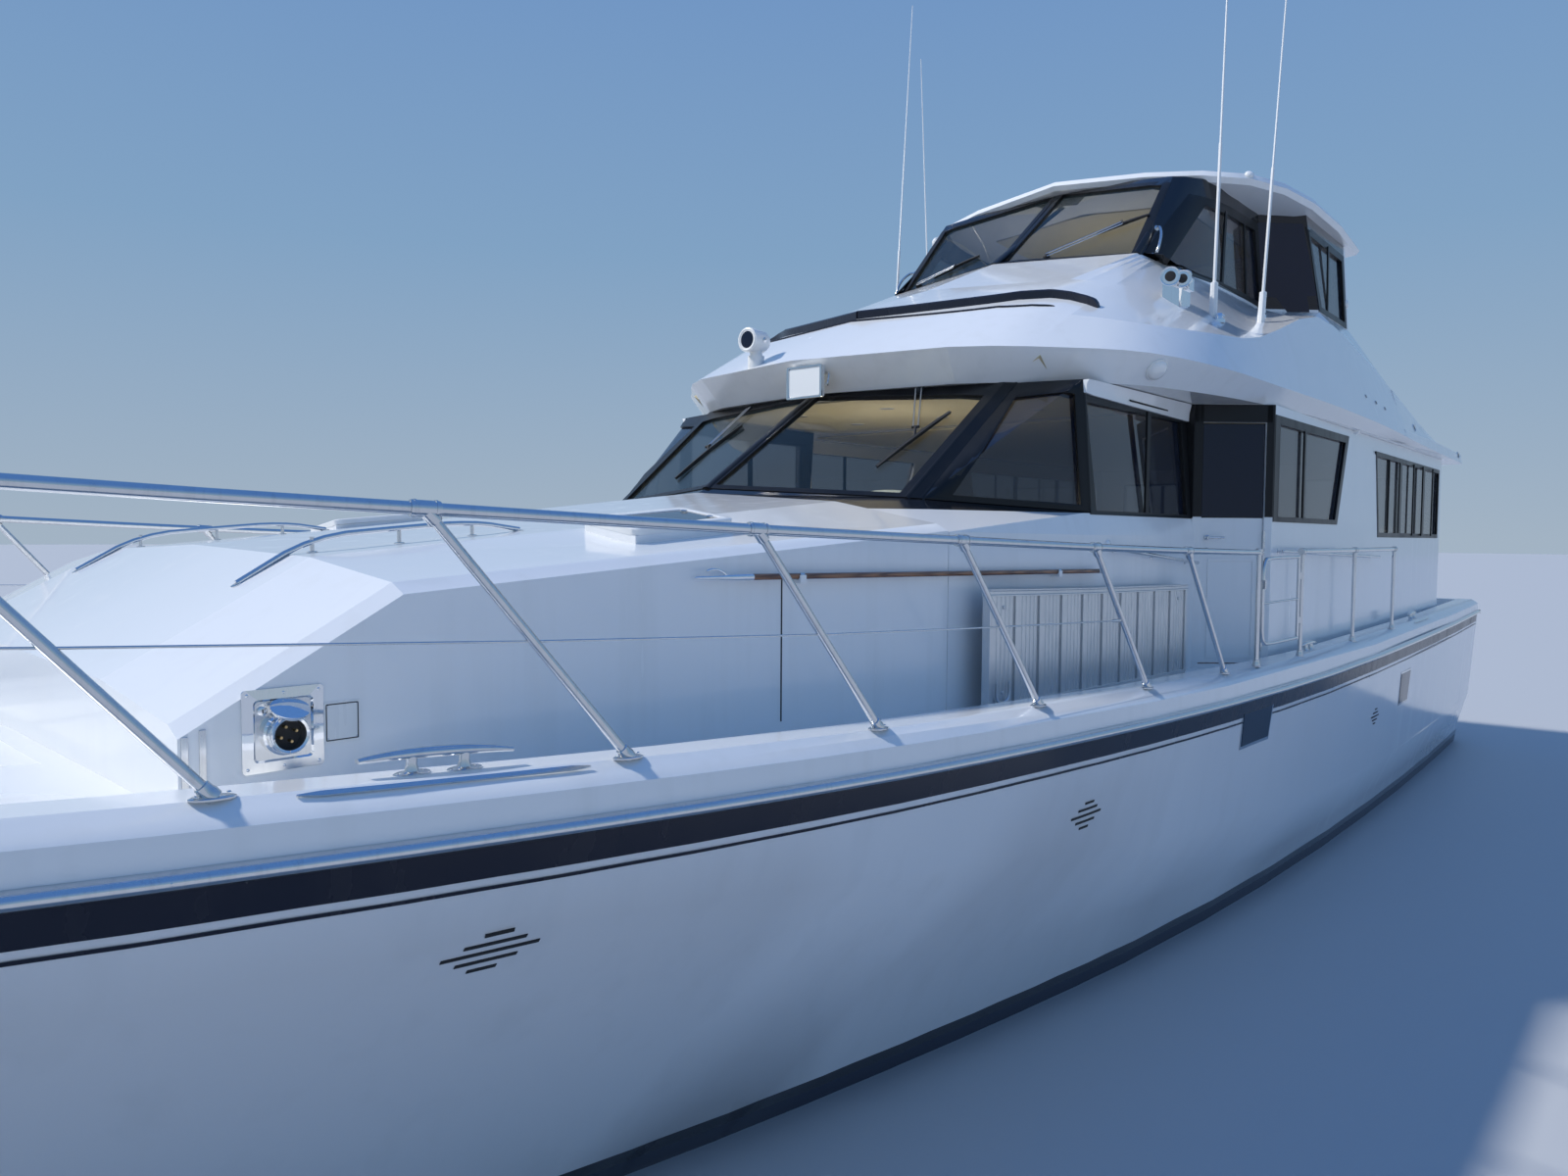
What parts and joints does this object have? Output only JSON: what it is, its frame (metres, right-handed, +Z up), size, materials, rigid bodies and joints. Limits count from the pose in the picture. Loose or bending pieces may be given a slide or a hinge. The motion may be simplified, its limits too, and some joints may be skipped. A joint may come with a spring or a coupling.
{
  "type": "flybridge motor yacht",
  "caption": "Motor yacht with a flared planing hull, raked V windshield, enclosed flying bridge under a hardtop, stainless bow rails, hinged gates, doors and hatches.",
  "frame": {"origin": "on the centreline at the waterline, halfway along the hull", "axes": "+X to the bow, +Y to port, +Z up"},
  "size_m": [22.7519, 5.6206, 10.3281],
  "materials": {
    "hull_gelcoat": "polished gelcoat",
    "white_gelcoat": "gloss gelcoat",
    "white_paint": "gloss paint",
    "stainless": "polished stainless",
    "chrome": "bright chrome",
    "gangway_aluminium": "mill finish",
    "dark_glass": "tinted glass",
    "varnished_wood": "satin varnish",
    "bronze": "machined bronze"
  },
  "bodies": {
    "boat": {"hull": "hull_gelcoat", "deck_moulding": "white_gelcoat", "rub_rail": "stainless", "trunk_cabin": "white_gelcoat", "wheelhouse": "white_gelcoat", "windshield_port": "dark_glass", "windshield_starboard": "dark_glass", "quarter_glass_port": "dark_glass", "quarter_glass_starboard": "dark_glass", "side_glass_port": "dark_glass", "side_glass_starboard": "dark_glass", "salon_glass_fore_port": "dark_glass", "salon_glass_fore_starboard": "dark_glass", "salon_glass_aft_port": "dark_glass", "salon_glass_aft_starboard": "dark_glass", "salon_house": "white_gelcoat", "bridge_moulding": "white_gelcoat", "hardtop": "white_gelcoat", "upper_windshield_port": "dark_glass", "upper_windshield_starboard": "dark_glass", "upper_side_glass_port": "dark_glass", "upper_side_glass_starboard": "dark_glass", "upper_aft_glass_port": "dark_glass", "upper_aft_glass_starboard": "dark_glass", "upper_house": "white_gelcoat", "bow_rail_port": "stainless", "bow_rail_starboard": "stainless", "side_rail_port": "stainless", "side_rail_starboard": "stainless", "gangway": "gangway_aluminium", "boat_hook": "varnished_wood", "cleat_fore_port": "stainless", "cleat_fore_starboard": "stainless", "cleat_mid_port": "stainless", "cleat_mid_starboard": "stainless", "cleat_aft_port": "stainless", "cleat_aft_starboard": "stainless", "shore_inlet": "stainless", "anchor": "stainless", "horns": "chrome", "searchlight_base": "white_paint", "antenna_port_fore": "white_paint", "antenna_port_aft": "white_paint", "antenna_starboard_fore": "white_paint", "antenna_starboard_aft": "white_paint", "swim_platform": "white_gelcoat", "helm_console": "varnished_wood"},
    "trunk_lid_port": {"trunk_hatch_port": "dark_glass"},
    "trunk_lid_starboard": {"trunk_hatch_starboard": "dark_glass"},
    "foredeck_lid": {"foredeck_hatch": "dark_glass"},
    "door_port": {"side_door_port": "white_gelcoat"},
    "door_starboard": {"side_door_starboard": "white_gelcoat"},
    "door_aft": {"aft_door": "white_gelcoat"},
    "gate_port": {"boarding_gate_port": "stainless"},
    "gate_starboard": {"boarding_gate_starboard": "stainless"},
    "searchlight": {"searchlight_head": "white_paint"},
    "screw_port": {"propeller_port": "bronze"},
    "screw_starboard": {"propeller_starboard": "bronze"},
    "blade_port": {"rudder_port": "bronze"},
    "blade_starboard": {"rudder_starboard": "bronze"}
  },
  "joints": [
    {"name": "trunk_hatch_port_hinge", "type": "hinge", "parent": "boat", "child": "trunk_lid_port", "pos_m": [3.132, 1.345, 2.9112], "axis": [0, -0.9868, 0.162], "range_deg": [0, 80]},
    {"name": "trunk_hatch_starboard_hinge", "type": "hinge", "parent": "boat", "child": "trunk_lid_starboard", "pos_m": [3.132, -1.345, 2.9112], "axis": [0, -0.9868, -0.162], "range_deg": [0, 80]},
    {"name": "foredeck_hatch_hinge", "type": "hinge", "parent": "boat", "child": "foredeck_lid", "pos_m": [6.192, 0, 2.12], "axis": [0, -1, 0], "range_deg": [0, 80]},
    {"name": "side_door_port_hinge", "type": "hinge", "parent": "boat", "child": "door_port", "pos_m": [-1.9254, 2.3335, 2.8], "axis": [0, 0, -1], "range_deg": [0, 85]},
    {"name": "side_door_starboard_hinge", "type": "hinge", "parent": "boat", "child": "door_starboard", "pos_m": [-1.9254, -2.3335, 2.8], "axis": [0, 0, 1], "range_deg": [0, 85]},
    {"name": "aft_door_hinge", "type": "hinge", "parent": "boat", "child": "door_aft", "pos_m": [-9.201, -0.4294, 2.8], "axis": [0, 0, 1], "range_deg": [0, 85]},
    {"name": "gate_port_hinge", "type": "hinge", "parent": "boat", "child": "gate_port", "pos_m": [-1.738, 2.685, 2.4], "axis": [0, 0, 1], "range_deg": [0, 100]},
    {"name": "gate_starboard_hinge", "type": "hinge", "parent": "boat", "child": "gate_starboard", "pos_m": [-1.738, -2.685, 2.4], "axis": [0, 0, -1], "range_deg": [0, 100]},
    {"name": "searchlight_swivel", "type": "hinge", "parent": "boat", "child": "searchlight", "pos_m": [0.8, -0.5, 4.1853], "axis": [0, 0, 1], "range_deg": [-160, 160]},
    {"name": "screw_port_spin", "type": "hinge", "parent": "boat", "child": "screw_port", "pos_m": [-8.86, 1.05, -1.08], "axis": [-0.9947, 0, -0.1033], "continuous": true},
    {"name": "screw_starboard_spin", "type": "hinge", "parent": "boat", "child": "screw_starboard", "pos_m": [-8.86, -1.05, -1.08], "axis": [-0.9947, 0, -0.1033], "continuous": true},
    {"name": "rudder_port_stock", "type": "hinge", "parent": "boat", "child": "blade_port", "pos_m": [-9.65, 1.05, -0.75], "axis": [0, 0, 1], "range_deg": [-35, 35]},
    {"name": "rudder_starboard_stock", "type": "hinge", "parent": "boat", "child": "blade_starboard", "pos_m": [-9.65, -1.05, -0.75], "axis": [0, 0, 1], "range_deg": [-35, 35]}
  ]
}
